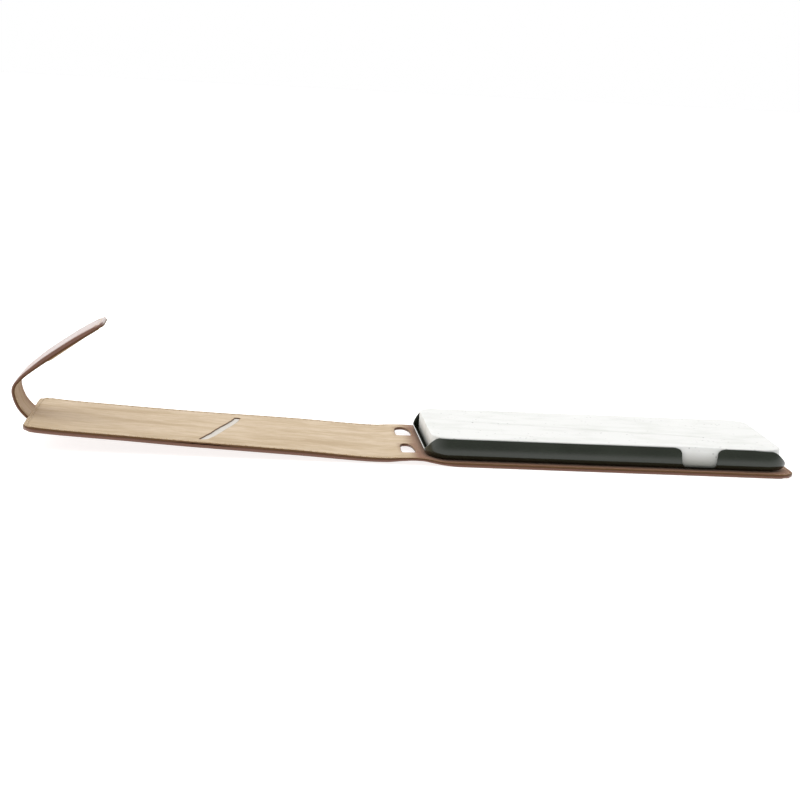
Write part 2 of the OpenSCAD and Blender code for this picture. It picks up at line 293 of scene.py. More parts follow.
def makeHide():
    f = Finish("smooth outer leather")
    rest = f.rest()
    mottle = f.noise(rest, 60.0, 5.0, 0.6)
    base = f.ramp(mottle, [(0.30, hide["dark"]), (0.50, hide["brown"]), (0.72, hide["light"])])
    cells = f.node("ShaderNodeTexVoronoi", Vector=rest, Scale=hide["grain"])
    cells.feature = "DISTANCE_TO_EDGE"
    cells.inputs["Randomness"].default_value = 0.9
    creases = f.ramp(cells.outputs["Distance"], [(0.0, (0, 0, 0)), (0.10, (1, 1, 1))])
    base = f.mix(0.16, base, creases, "MULTIPLY")
    edge = f.edge()
    base = f.mix(f.ramp(edge, [(0.35, (0, 0, 0)), (0.95, (0.8, 0.8, 0.8))]), base, hide["burnt"])
    f.value("Base Color", base)
    f.value("Roughness", f.spread(mottle, hide["gloss"] - 0.06, hide["gloss"] + 0.12))
    f.value("Coat Weight", 0.18)
    f.value("Coat Roughness", 0.22)
    f.value("Normal", f.bump(creases, 0.10, 0.05 * mm, f.bump(f.noise(rest, 260.0, 4.0), 0.22, 0.2 * mm)))
    return f.material


shellLook = {"black": (0.0105, 0.0145, 0.0085), "gloss": 0.15}


def makeShellPlastic():
    f = Finish("gloss holder plastic")
    rest = f.rest()
    haze = f.noise(rest, 90.0, 3.0)
    black = shellLook["black"]
    f.value("Base Color", f.ramp(haze, [(0.3, black), (0.8, tuple(1.3 * c for c in black))]))
    f.value("Roughness", f.spread(haze, shellLook["gloss"], shellLook["gloss"] + 0.09))
    f.value("Specular IOR Level", 0.55)
    f.value("Normal", f.bump(f.noise(rest, 130.0, 2.0), 0.08, 0.2 * mm))
    return f.material


# foot is a painted shade colour for the bottom of the block's sides
formLook = {"white": (0.69, 0.695, 0.685), "shade": (0.63, 0.64, 0.62), "foot": (0.22, 0.22, 0.19)}


def makeFormPlastic():
    f = Finish("white form")
    rest = f.rest()
    grain = f.noise(rest, 900.0, 4.0, 0.6)
    patches = f.noise(f.stretched(rest, (0.5, 1, 1)), 120.0, 4.0)
    specks = f.node("ShaderNodeTexVoronoi", Vector=rest, Scale=420.0)
    dots = f.ramp(specks.outputs["Distance"], [(0.08, (1, 1, 1)), (0.20, (0, 0, 0))])
    sparse = f.ramp(f.noise(rest, 160.0, 2.0), [(0.50, (0, 0, 0)), (0.58, (1, 1, 1))])
    base = f.ramp(patches, [(0.34, formLook["shade"]), (0.52, formLook["white"])])
    base = f.mix(f.mix(1.0, dots, sparse, "MULTIPLY"), base, tuple(0.55 * c for c in formLook["white"]))
    # painted shade: the block's colour darkens towards the bottom of its sides, where shade falls
    parts = f.nodes.new("ShaderNodeSeparateXYZ")
    f.links.new(rest, parts.inputs["Vector"])
    height = f.node("ShaderNodeMapRange", Value=parts.outputs["Z"])
    height.inputs["From Min"].default_value = 2.6 * mm
    height.inputs["From Max"].default_value = 8.8 * mm
    base = f.mix(height.outputs["Result"], formLook["foot"], base)
    f.value("Base Color", base)
    f.value("Roughness", 0.62)
    f.value("Specular IOR Level", 0.3)
    f.value("Normal", f.bump(grain, 0.35, 0.15 * mm, f.bump(patches, 0.3, 0.4 * mm)))
    return f.material


threadLook = {"waxed": (0.70, 0.56, 0.36), "shade": (0.34, 0.22, 0.10), "hole": (0.10, 0.055, 0.025)}


def makeThreadFinish():
    f = Finish("waxed thread")
    rest = f.rest()
    strands = f.node("ShaderNodeTexWave", Vector=rest, Scale=900.0, Distortion=1.5)
    strands.bands_direction = "DIAGONAL"
    fac = strands.outputs["Fac"]
    base = f.ramp(fac, [(0.1, threadLook["shade"]), (0.5, threadLook["waxed"])])
    # painted shade: the thread darkens towards both ends, standing for the shade inside the stitch holes
    holeShade = f.ramp(f.edge(), [(0.45, (0, 0, 0)), (0.85, (1, 1, 1))])
    f.value("Base Color", f.mix(holeShade, base, threadLook["hole"]))
    f.value("Roughness", f.spread(fac, 0.5, 0.75))
    f.value("Sheen Weight", 0.2)
    f.value("Normal", f.bump(fac, 0.5, 0.06 * mm))
    return f.material


def makePlain(name, color, rough, metal=0.0, scale=700.0):
    f = Finish(name)
    place = f.nodes.new("ShaderNodeTexCoord").outputs["Object"]
    fibre = f.noise(f.stretched(place, (0.3, 1, 1)), scale, 5.0, 0.6)
    f.value("Base Color", f.ramp(fibre, [(0.3, tuple(0.86 * c for c in color)), (0.7, color)]))
    f.value("Roughness", f.spread(fibre, rough - 0.06, rough + 0.08))
    f.value("Metallic", metal)
    f.value("Normal", f.bump(fibre, 0.2, 0.05 * mm))
    return f.material


suedeFinish = makeSuede()
hideFinish = makeHide()
shellFinish = makeShellPlastic()
formFinish = makeFormPlastic()
threadFinish = makeThreadFinish()
boardFinish = makePlain("stiffening board", (0.62, 0.58, 0.53), 0.8)
tapeFinish = makePlain("double sided tape", (0.80, 0.78, 0.70), 0.5)
steelFinish = makePlain("zinc plated steel", (0.55, 0.55, 0.56), 0.32, 1.0, 500.0)
print("finishes")

# shared mesh tools


def smoothLine(points):
    # a smooth height through a few given places along the case
    xs = np.array([p[0] for p in points], float)
    ys = np.array([p[1] for p in points], float)
    rise = np.diff(ys) / np.diff(xs)
    slope = np.zeros(len(xs))
    slope[0], slope[-1] = rise[0], rise[-1]
    for i in range(1, len(xs) - 1):  # no overshoot past the places themselves
        if rise[i - 1] * rise[i] > 0:
            slope[i] = 2 * rise[i - 1] * rise[i] / (rise[i - 1] + rise[i])

    def at(x):
        x = np.clip(np.asarray(x, float), xs[0], xs[-1])
        i = np.clip(np.searchsorted(xs, x) - 1, 0, len(xs) - 2)
        h = xs[i + 1] - xs[i]
        t = (x - xs[i]) / h
        return ((2 * t**3 - 3 * t**2 + 1) * ys[i] + (t**3 - 2 * t**2 + t) * h * slope[i]
                + (3 * t**2 - 2 * t**3) * ys[i + 1] + (t**3 - t**2) * h * slope[i + 1])
    return at


def ease(x, low, high):
    t = np.clip((np.asarray(x, float) - low) / (high - low), 0, 1)
    return t * t * (3 - 2 * t)


def roundedBox(x0, x1, y0, y1, radii, step):
    # a closed outline, counter-clockwise, from corner radii at (x0,y0), (x1,y0), (x1,y1), (x0,y1)
    corners = [((x0, y0), 180), ((x1, y0), 270), ((x1, y1), 0), ((x0, y1), 90)]
    points = []
    for ((cx, cy), start), r in zip(corners, radii):
        mx = cx + r if cx == x0 else cx - r
        my = cy + r if cy == y0 else cy - r
        n = max(2, int(r * math.pi / 2 / step * 1.5)) if r else 0
        points += [(cx, cy)] if n == 0 else [(mx + r * math.cos(math.radians(start + 90 * k / n)),
                    my + r * math.sin(math.radians(start + 90 * k / n))) for k in range(n + 1)]
    return resample(points, step)


def resample(points, step):
    # more points on the long straight stretches of a closed outline
    out = []
    for i, p in enumerate(points):
        q = points[(i + 1) % len(points)]
        d = math.dist(p, q)
        if d < 1e-7:
            continue
        n = max(1, round(d / step))
        out += [(p[0] + (q[0] - p[0]) * k / n, p[1] + (q[1] - p[1]) * k / n) for k in range(n)]
    return out


def outward(loop):
    # unit normals of a counter-clockwise loop
    a = np.array(loop)
    t = np.roll(a, -1, 0) - np.roll(a, 1, 0)
    t /= np.linalg.norm(t, axis=1)[:, None] + 1e-12
    return np.stack([t[:, 1], -t[:, 0]], 1)


def insideLoop(points, loop):
    p, a = np.asarray(points), np.asarray(loop)
    b = np.roll(a, -1, 0)
    inside = np.zeros(len(p), bool)
    for (x0, y0), (x1, y1) in zip(a, b):
        if y0 == y1:
            continue
        cross = ((y0 > p[:, 1]) != (y1 > p[:, 1])) & (p[:, 0] < (x1 - x0) * (p[:, 1] - y0) / (y1 - y0) + x0)
        inside ^= cross
    return inside


def newObject(name, verts, faces, finish, attributes, sharp=()):
    mesh = bpy.data.meshes.new(name)
    mesh.from_pydata([tuple(v) for v in verts], [], faces)
    mesh.polygons.foreach_set("use_smooth", [True] * len(mesh.polygons))
    for key, values in attributes.items():
        values = np.asarray(values, np.float32)
        if values.ndim == 2:
            mesh.attributes.new(key, "FLOAT_VECTOR", "POINT").data.foreach_set("vector", values.ravel())
        else:
            mesh.attributes.new(key, "FLOAT", "POINT").data.foreach_set("value", values)
    mesh.materials.append(finish)
    mesh.validate()
    mesh.update()
    for edge in mesh.edges:
        if tuple(sorted(edge.vertices)) in sharp:
            edge.use_edge_sharp = True
    obj = bpy.data.objects.new(name, mesh)
    bpy.context.scene.collection.objects.link(obj)
    return obj


borderRows = (0.35, 0.7, 1.05, 1.45, 1.9)


def slab(name, outline, holes, spacing, top, bottom, rim, finish, place,
         rough=0.0, wearAndShade=None, seam=None):
    # a closed sheet between two heights, with a rounded rim round its outline and its holes.
    # rim is (inset, drop from the top, rise from the bottom);
    # seam is where it meets the next sheet, and is left square
    inset, drop, rise = rim
    loops = [np.array(outline)] + [np.array(h) for h in holes]
    signs = [1] + [-1] * len(holes)
    normals = [outward(l) * s for l, s in zip(loops, signs)]
    insets = [np.full(len(l), inset) for l in loops]
    square = [np.zeros(len(l), bool) for l in loops]
    if seam is not None:
        on = np.abs(loops[0][:, 0] - seam) < 1e-4
        side = on & (np.abs(loops[0][:, 1]) > np.abs(loops[0][on, 1]).max() - 1e-4)
        normals[0][side] = np.column_stack([np.zeros(side.sum()), np.sign(loops[0][side, 1])])
        square[0] = on & ~side
        insets[0][square[0]] = 0
    if rough:
        def cut(x, y, k):  # slow and fast unevenness of a knife cut
            return noise.noise(Vector((x * 0.35, y * 0.35, 7 * k))) + noise.noise(Vector((x, y, 3 + 7 * k)))
        loops = [l + n * np.array([rough * cut(x, y, k) for x, y in l])[:, None] * ~q[:, None]
                 for k, (l, n, q) in enumerate(zip(loops, normals, square))]
    inner = [l - n * i[:, None] for l, n, i in zip(loops, normals, insets)]
    low, high = inner[0].min(0), inner[0].max(0)
    xs = np.arange(low[0], high[0], spacing)
    ys = np.arange(low[1], high[1], spacing * 0.87)
    grid = np.array([(x + (spacing / 2 if j % 2 else 0), y) for j, y in enumerate(ys) for x in xs])
    rows = [loops[0] - normals[0] * (inset + d) for d in borderRows]
    grid = np.concatenate([grid[insideLoop(grid, rows[-1] - normals[0] * spacing * 0.5)]] + rows)
    keep = insideLoop(grid, loops[0] - normals[0] * (inset + 0.2))
    for l, n in zip(loops[1:], normals[1:]):
        keep &= ~insideLoop(grid, l - n * (inset + spacing * 0.5))
    grid = grid[keep]
    flat = np.concatenate(inner + [grid])
    edges, start = [], 0
    for l in inner:
        edges += [(start + i, start + (i + 1) % len(l)) for i in range(len(l))]
        start += len(l)
    made, _, tris, origin, _, _ = delaunay_2d_cdt([Vector(p) for p in flat], edges, [], 0, 1e-9)
    made = np.array([(v.x, v.y) for v in made])
    where = {}
    for index, sources in enumerate(origin):
        for source in sources:
            where[source] = index
    middles = made[np.array(tris)].mean(1)
    keep = insideLoop(middles, inner[0])
    for hole in inner[1:]:
        keep &= ~insideLoop(middles, hole)
    tris = [t for t, k in zip(tris, keep) if k]
    used = np.zeros(len(made), int) - 1
    for index in sorted({i for t in tris for i in t}):
        used[index] = used.max() + 1
    made = made[used >= 0]
    tris = [tuple(int(used[i]) for i in t) for t in tris]
    count = len(made)
    topZ, bottomZ = top(made[:, 0], made[:, 1]), bottom(made[:, 0], made[:, 1])
    verts = [np.column_stack([made, topZ]), np.column_stack([made, bottomZ])]
    edge = [np.zeros(count), np.zeros(count)]
    faces = tris + [tuple(count + i for i in reversed(t)) for t in tris]
    total = 2 * count
    turns = (30, 60, 90)
    steps = 2 * len(turns) + 1
    sharp = set()
    start = 0
    for l, n, sign, i0, q in zip(loops, normals, signs, insets, square):
        size = len(l)
        ids = [int(used[where[start + i]]) for i in range(size)]
        start += size
        rings = [ids]
        at = l - n * i0[:, None]
        high, low = top(at[:, 0], at[:, 1]), bottom(at[:, 0], at[:, 1])
        for up in (True, False):
            for turn in (turns if up else turns[::-1]):
                c, s = math.cos(math.radians(turn)), math.sin(math.radians(turn))
                xy = l - n * (i0[:, None] * (1 - s))
                z = high - drop * (1 - c) if up else low + rise * (1 - c)
                z = np.where(q, high + (low - high) * len(rings) / steps, z)
                verts.append(np.column_stack([xy, z]))
                edge.append(np.where(q, 0.0, s if up else 1.0))
                rings.append([total + i for i in range(size)])
                total += size
        rings.append([count + i for i in ids])
        for a, b in zip(rings, rings[1:]):
            for i in range(size):
                j = (i + 1) % size
                quad = (a[i], b[i], b[j], a[j])
                faces.append(quad if sign > 0 else quad[::-1])
        for i in range(size):
            j = (i + 1) % size
            if q[i] or q[j]:
                sharp |= {tuple(sorted((r[i], r[j]))) for r in (rings[0], rings[-1])}
            if q[i] != q[j]:
                outer = i if q[j] else j
                sharp |= {tuple(sorted((a[outer], b[outer]))) for a, b in zip(rings, rings[1:])}
    verts = np.concatenate(verts)
    attributes = {"edge": np.concatenate(edge), "rest": verts * mm}
    # darkening of the lining: real wear, and for the back and the strap also painted shade
    attributes["wearAndShade"] = np.zeros(len(verts)) if wearAndShade is None else wearAndShade(verts[:, 0], verts[:, 1])
    placed = np.array([place(*v) for v in verts]) * mm
    return newObject(name, placed, faces, finish, attributes, sharp)


def asIs(x, y, z):
    return (x, y, z)


# the folding leather
# heights in mm of the leather along the case, from the cover's free end to the back, and how the cover
# has warped: how far it has lifted, and how much more on the near side than in the middle
leather = {
    "top": [(-222.0, 9.25), (-208.0, 8.1), (-184.0, 6.85), (-155.7, 5.3), (-118.2, 3.7), (-99.2, 2.8),
            (-89.2, 2.45), (-85.2, 2.4), (-79.2, 2.75), (-74.2, 2.88), (-71.2, 2.8), (-67.5, 2.35),
            (-63.0, 1.78), (-58.0, 1.7), (75.0, 1.7)],
    "bottom": [(-222.0, 7.2), (-208.0, 6.1), (-184.0, 4.85), (-155.7, 3.2), (-118.2, 1.7), (-99.2, 1.0),
               (-89.2, 0.75), (-85.2, 0.8), (-79.2, 1.4), (-74.2, 1.72), (-71.2, 1.65), (-67.5, 1.1),
               (-62.5, 0.35), (-57.0, 0.02), (75.0, 0.0)],
    "lift": [(-222.0, -0.2), (-208.0, -0.18), (-184.0, -0.08), (-155.7, 0.08), (-118.2, 0.24),
             (-96.0, 0.06), (-86.0, 0.0), (-70.0, 0.0)],
    "twist": [(-222.0, 0.43), (-208.0, 0.43), (-184.0, 0.47), (-155.7, 0.37), (-118.2, 0.12), (-96.0, 0.0),
              (-70.0, 0.0)],
    "liningShare": 0.37, "seam": -79.9, "step": 1.3, "rimOut": 0.5, "raggedness": 0.14, "crease": 0.14}
leatherTop = smoothLine(leather["top"])
leatherBottom = smoothLine(leather["bottom"])
leatherLift = smoothLine(leather["lift"])
leatherTwist = smoothLine(leather["twist"])
halfCover, halfBack = coverHigh.y / mm, backHigh.y / mm
coverEnd, backEnd = coverLow.x / mm + 0.1, backHigh.x / mm + 0.35


def halfWidth(x):
    return halfCover + (halfBack - halfCover) * ease(x, -74, -66)


def fromEdge(x, y):
    return np.minimum(np.minimum(halfWidth(x) - np.abs(y), x - coverEnd), backEnd - x)


def pressed(x, y):
    # the line pressed in for the stitches, with a low ridge outside it
    d = fromEdge(x, y)
    line = stitching["inset"]
    groove = np.exp(-((d - line) / 0.5) ** 2)
    ridge = 0.5 * np.exp(-((d - line + 0.85) / 0.45) ** 2)
    return leather["crease"] * (groove - ridge)


def unevenness(x, y):
    ripple = np.array([0.10 * noise.noise(Vector((a * 0.035, b * 0.05, 2.3))) for a, b in zip(x, y)])
    return ripple * (1 - ease(x, -92, -86)) + leatherLift(x) - leatherTwist(x) * y / halfCover


def skinTop(x, y):
    x, y = np.asarray(x, float), np.asarray(y, float)
    return leatherTop(x) + unevenness(x, y) - pressed(x, y)


def skinBottom(x, y):
    x, y = np.asarray(x, float), np.asarray(y, float)
    return leatherBottom(x) + unevenness(x, y) + pressed(x, y) * 1.6 * ease(fromEdge(x, y), 0.7, 1.1)


def plyLine(x, y):
    x, y = np.asarray(x, float), np.asarray(y, float)
    share = leather["liningShare"]
    return leatherTop(x) * (1 - share) + leatherBottom(x) * share + unevenness(x, y)


# each window: its near end, its left side, and how far it opens; the shape runs from its near end
windows = {"near": (-25.4, -78.6, 1.0), "far": (11.8, -78.2, 1.16),
           "shape": [(0.1, 0.3), (2.4, 0.0), (4.9, 0.2), (5.3, 3.0), (5.35, 8.0), (5.0, 12.5), (4.2, 16.2),
                     (3.0, 18.6), (1.7, 18.7), (0.7, 16.6), (0.15, 13.0), (0.0, 8.0), (0.0, 4.0)]}


def windowLoop(which):
    y0, x0, wide = windows[which]
    a = np.array(resample([(x0 + x * wide, y0 + y) for x, y in windows["shape"]], 0.6))
    for _ in range(2):
        a = (np.roll(a, 1, 0) + 2 * a + np.roll(a, -1, 0)) / 4
    return [tuple(p) for p in a]


def cameraLoop():
    x, y, radius = shellHigh.x / mm - 13, -22.0, 5.5
    return [(x + radius * math.cos(2 * math.pi * k / 56), y + radius * math.sin(2 * math.pi * k / 56))
            for k in range(56)]


def area(points):
    a = np.array(points)
    b = np.roll(a, -1, 0)
    return float((a[:, 0] * b[:, 1] - b[:, 0] * a[:, 1]).sum() / 2)


def counterClockwise(points):
    return points if area(points) > 0 else points[::-1]


def backOutline():
    r = 8.0
    side = [(x, float(halfWidth(x))) for x in (leather["seam"], -77, -74, -72, -70, -68, -66, -60)]
    arc = [(backEnd - r + r * math.cos(math.radians(a)), halfBack - r + r * math.sin(math.radians(a)))
           for a in range(90, -1, -9)]
    upper = side + arc
    lower = [(x, -y) for x, y in reversed(upper)]
    return counterClockwise(resample(upper + lower, 0.9))


def backWearAndShade(x, y):
    # the lining is darker and redder where it is pulled down beside the shell, and most along its near
    # side; this is partly staining and partly painted shade cast by the shell
    pulled = 0.9 * ease(x, -77.5, -70.5) * (1 - 0.3 * ease(x, 50, 66))
    near = ease(-y, 20, 32) * ease(x, -76, -69) * (1 - 0.5 * ease(x, 60, 69))
    return np.clip(pulled + 0.7 * near + 0.35 * windowWear(x, y), 0, 1)


def windowWear(x, y):
    # the cut rims of the two windows, darkened by handling
    worn = np.zeros(len(x))
    for which in ("near", "far"):
        y0, x0, wide = windows[which]
        away = np.hypot(np.maximum(0, np.abs(x - x0 - 2.7 * wide) - 2.7 * wide),
                        np.maximum(0, np.abs(y - y0 - 9.3) - 9.3))
        worn = np.maximum(worn, np.exp(-(away / 0.9) ** 2))
    return worn


def coverWear(x, y):
    # a faint brown line along the stitch holes and at the cut far edge
    d = fromEdge(x, y)
    return 0.3 * np.exp(-((d - stitching["inset"]) / 0.4) ** 2) + 0.6 * np.exp(-(d / 0.5) ** 2) * (y > 0)


def strapWearAndShade(s, y):
    # the strap's lining is darker where it turns, most along its far border; the even darkening of the
    # whole lining is painted shade
    far = 0.5 * ease(y, 2, 12) * (1 - ease(s, 12, 20))
    near = 0.45 * ease(-y, 10.5, 13) * (1 - ease(s, 12, 20))
    return 0.12 + far + near + 0.15 * ease(s, -2, 2) * (1 - ease(s, 10, 16))


def makeBackLeather():
    holes = [windowLoop("near"), windowLoop("far"), cameraLoop()]
    rim = leather["rimOut"]
    outer = slab("backHide", backOutline(), holes, leather["step"], plyLine, skinBottom, (rim, 0.1, 0.5),
                 hideFinish, asIs, leather["raggedness"], None, leather["seam"])
    inner = slab("backSuede", backOutline(), holes, leather["step"], skinTop, plyLine, (0.4, 0.3, 0.05),
                 suedeFinish, asIs, leather["raggedness"], backWearAndShade, leather["seam"])
    for obj in (outer, inner):
        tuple(backFold[0])
        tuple(backFold[1])
        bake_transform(obj)
    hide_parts("back_leather", "spine_leather")
    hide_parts("back_lining")


backFold = ((-70.4 * mm, 0, foldA.z), (-73.0 * mm, 0, foldA.z))
coverFold = ((-79.95 * mm, 0, foldB.z), (-84.0 * mm, 0, foldB.z))
cover = {"corner": 5.5, "boardInset": 5.0, "boardDrop": 0.45, "pocketLift": 0.32,
         "slotLeft": [(-156.3, -30.3), (-154.0, -21.0), (-151.7, -12.0), (-150.1, -4.0), (-148.0, 5.0),
                      (-145.6, 14.0), (-143.9, 22.0), (-142.9, 27.6)],
         "slotRight": [(-140.8, 27.3), (-142.0, 18.0), (-144.1, 8.0), (-146.5, -2.0), (-148.7, -12.0),
                       (-150.9, -21.0), (-153.2, -28.5)]}


def coverOutline():
    r = cover["corner"]
    radii = (r, 0.0, 0.0, r)
    return counterClockwise(roundedBox(coverEnd, leather["seam"], -halfCover, halfCover, radii, 0.9))


def slotLoop():
    # a knife-cut slot, drawn to a point at its near end and square at its far end
    a = np.array(resample(cover["slotLeft"] + cover["slotRight"], 0.7))
    smooth = (np.roll(a, 1, 0) + 2 * a + np.roll(a, -1, 0)) / 4
    return counterClockwise([tuple(p) for p in smooth])


def boardDrop(x, y):
    inside = ease(x, coverEnd + 17, coverEnd + 18) * (1 - ease(x, leather["seam"] - 9, leather["seam"] - 8))
    reach = halfCover - cover["boardInset"]
    return cover["boardDrop"] * inside * (1 - ease(np.abs(y), reach - 1, reach))


def slotLift(x, y):
    # the board sits higher behind the slot, where the pocket is open
    left = smoothLine([(b, a) for a, b in cover["slotLeft"]])
    return cover["pocketLift"] * (1 - ease(np.abs(x - left(y) - 1.5), 4, 14))


def makeCoverLeather():
    outline = coverOutline()
    outer = slab("coverHide", outline, [], leather["step"], lambda x, y: plyLine(x, y) - boardDrop(x, y),
                 skinBottom, (leather["rimOut"], 0.1, 0.6), hideFinish, asIs,
                 leather["raggedness"], None, leather["seam"])
    inner = slab("coverSuede", outline, [slotLoop()], leather["step"], skinTop,
                 lambda x, y: plyLine(x, y) + slotLift(x, y), (0.4, 0.3, 0.05), suedeFinish,
                 asIs, leather["raggedness"], coverWear, leather["seam"])
    for obj in (outer, inner):
        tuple(coverFold[0])
        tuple(coverFold[1])
        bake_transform(obj)
    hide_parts("cover_leather")
    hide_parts("cover_lining")
    half = halfCover - cover["boardInset"] - 1
    outline = roundedBox(coverEnd + 18, leather["seam"] - 9, -half, half, (3, 3, 3, 3), 1.5)
    board = slab("stiffeningBoard", outline, [], 2.5, lambda x, y: plyLine(x, y) + slotLift(x, y) - 0.02,
                 lambda x, y: plyLine(x, y) - boardDrop(x, y) + 0.02, (0.12, 0.1, 0.1), boardFinish,
                 asIs)
    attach(board, "cover")
    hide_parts("cover_board")


stitching = {"pitch": 2.7, "length": 2.0, "thick": 0.42, "inset": 1.4, "sink": 0.16, "backSink": 0.3}
makeBackLeather()
makeCoverLeather()
print("leather of the back, spine and cover")

# the closing strap
# bends in the order they follow each other: length in mm, turn in degrees
strap = {"width": 27.0, "rise": 38.0, "tongue": 2.0, "tipCorner": 6.0, "split": 10.0, "stitchInset": 1.7,
         "bends": [(6, 20.7), (5, 17.3), (3, 37.5), (1, 12.5), (6, 13), (34.4, 6.5)],
         "rootZone": (3.6, 8.4), "tabZone": (11.4, 16.6),
         "face": [(-3, 0.95), (1, 0.9), (4, 0.72), (6, 0.66), (14, 0.64), (21, 0.60), (30, 0.68),
                  (42, 0.72), (50, 0.70), (55, 0.66)],
         "overMagnet": [(27, 0.9), (31, 1.38), (35, 1.36), (40.5, 1.25), (47, 1.0), (51, 0.8)],
         "back": [(-3, -0.25), (1, -0.35), (4, -0.55), (6, -0.66), (14, -0.74), (21, -1.05), (30, -1.5),
                  (42, -1.5), (50, -1.25), (55, -1.0)]}
coverLength = (foldB.x - coverLow.x) / math.cos(coverTilt) / mm - 0.05


def strapPath():
    # places along the strap's middle in the cover's own frame: distance, x, z, heading
    heading = strap["rise"]
    x, z = -coverLength - 0.65 * math.sin(math.radians(heading)), 0.0
    slope = math.radians(heading)
    rows = [(-d, x + d * math.cos(slope), z - 0.35 * d * math.sin(slope), heading)
            for d in np.arange(strap["tongue"], 0.1, -0.25)]
    s = 0.0
    for length, turn in strap["bends"]:
        steps = max(4, int(length / 0.25))
        for _ in range(steps):
            rows.append((s, x, z, heading))
            middle = math.radians(heading + turn / steps / 2)
            x -= length / steps * math.cos(middle)
            z += length / steps * math.sin(middle)
            heading += turn / steps
            s += length / steps
    return np.array(rows + [(s, x, z, heading)])


strapRows = strapPath()
strapEnd = strapRows[-1, 0]
strapFace = smoothLine(strap["face"])
strapBack = smoothLine(strap["back"])
strapOverMagnet = smoothLine(strap["overMagnet"])
halfStrap = strap["width"] / 2


def strapPlace(s, y, off, raised=0.0):
    x, z, a = (np.interp(s, strapRows[:, 0], strapRows[:, k]) for k in (1, 2, 3))
    a = math.radians(a)
    x += off * math.sin(a)
    z += off * math.cos(a) + raised
    c, d = math.cos(coverTilt), math.sin(coverTilt)
    return (foldB.x / mm + x * c + z * d, y, foldB.z / mm - x * d + z * c)


strapRise = (strapFold1.z / mm - strapPlace(6.0, 0, 0)[2]) / math.cos(coverTilt)


def onStrap(s, y, off):
    return strapPlace(s, y, off, strapRise)


def strapOutline(s0, s1):
    r = strap["tipCorner"] if s1 >= strapEnd else 0.0
    return counterClockwise(roundedBox(s0, s1, -halfStrap, halfStrap, (0.0, r, r, 0.0), 0.8))


def tabCrown(y):
    return 1 - 0.06 * (np.abs(y) / halfStrap) ** 3


def strapPressed(s, y):
    d = np.minimum(halfStrap - np.abs(y), strapEnd - s) - strap["stitchInset"]
    return 0.17 * np.exp(-((d) / 0.45) ** 2)


def magnetSwell(s, y):
    # how far the lining stands up over the magnet
    over = ease(s, 27, 30.7) * (1 - ease(s, 47.3, 51)) * (1 - ease(np.abs(y), 8.3, 11.5))
    return over * (strapOverMagnet(s) - strapFace(s))


def strapTop(s, y):
    s, y = np.asarray(s, float), np.asarray(y, float)
    return strapFace(s) * tabCrown(y) + magnetSwell(s, y) - strapPressed(s, y)


def strapUnder(s, y):
    s, y = np.asarray(s, float), np.asarray(y, float)
    return strapBack(s) * tabCrown(y) + 1.6 * strapPressed(s, y)


def strapZone(name):
    return [Vector(onStrap(s, 0, 0)) * mm for s in strap[name]]


def makeStrap():
    split = strap["split"]
    spans = (("Root", -strap["tongue"], split, "cover", "strap_bend", "rootZone",
              ("strap_root_leather", "strap_root_lining")),
             ("Tab", split, strapEnd, "strap_bend", "strap_tab", "tabZone",
              ("strap_bend_leather", "strap_bend_lining", "tab_leather", "tab_lining")))
    for label, s0, s1, first, second, zone, nodes in spans:
        outline = strapOutline(s0, s1)
        outer = slab("strap" + label + "Hide", outline, [], 0.9, lambda s, y: 0.0 * s, strapUnder,
                     (0.5, 0.05, 0.5), hideFinish, onStrap, 0.06, None, split)
        inner = slab("strap" + label + "Suede", outline, [], 0.9, strapTop, lambda s, y: 0.0 * s,
                     (0.4, 0.3, 0.05), suedeFinish, onStrap, 0.10, strapWearAndShade, split)
        start, end = strapZone(zone)
        for obj in (outer, inner):
            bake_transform(obj)
        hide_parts(*[n for n in nodes if n.endswith("leather")])
        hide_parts(*[n for n in nodes if n.endswith("lining")])


makeStrap()
print("closing strap")

# the holder shell
# the corners at either end climb from the end lip to the side wall between these angles, taken from
# the end; the lip is lower at the right
shell = {"wall": 1.2, "floor": 1.0, "corner": 9.0, "lip": 3.1, "rightLip": 2.7, "roll": 3.6,
         "rollHeight": 2.9, "rimRound": 0.26, "lean": 0.68, "leftClimb": (3, 64), "rightClimb": (8, 80),
         "rightSag": 0.3, "notchMiddle": 35.0, "notchHalf": 7.0, "notchFoot": 1.35, "footRound": 1.7,
         "flareWide": 3.3, "flareTall": 2.0}


def notchRows():
    # half of the notch's outline from its middle: place along the case, height over the shell's underside
    half, foot, r = shell["notchHalf"], shell["notchFoot"], shell["footRound"]
    wide, tall, full = shell["flareWide"], shell["flareTall"], (shellHigh.z - shellLow.z) / mm
    rows = [(d, foot) for d in np.linspace(0, half - r - 0.4, 5)[1:]]
    rows += [(half - r - 0.25 + r * math.sin(a), foot + r * (1 - math.cos(a)))
             for a in np.radians(np.arange(10, 91, 10))]
    upright = full - tall - foot - r
    rows += [(half - 0.25 + 0.25 * t, foot + r + upright * t) for t in np.linspace(0.15, 1, 7)]
    rows += [(half + 0.02 + wide * (1 - math.cos(a)), full - tall + tall * math.sin(a))
             for a in np.radians(np.arange(12, 91, 13))]
    return rows


